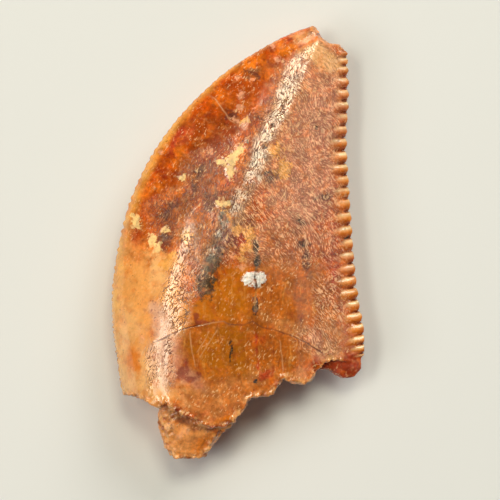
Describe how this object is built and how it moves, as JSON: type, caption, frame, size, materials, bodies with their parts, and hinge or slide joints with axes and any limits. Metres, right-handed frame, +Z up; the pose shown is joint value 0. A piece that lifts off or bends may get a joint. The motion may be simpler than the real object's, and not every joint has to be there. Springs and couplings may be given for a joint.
{
  "type": "fossil raptor tooth",
  "caption": "Small fossil raptor tooth, amber to orange-brown, with a serrated distal edge, a finely beaded mesial edge, a chipped tip and a ragged broken base.",
  "frame": {"origin": "middle of the bounding box in plan, on the surface that the tooth lies on", "axes": "+Y from the broken base to the tip, +X towards the serrated distal edge, +Z up out of the face that shows"},
  "size_m": [0.0056, 0.0096, 0.002],
  "materials": {
    "enamel": "iron-stained fossil enamel, half glossy, with a fine braided grain"
  },
  "bodies": {
    "root": {"tooth": "enamel"}
  },
  "joints": []
}
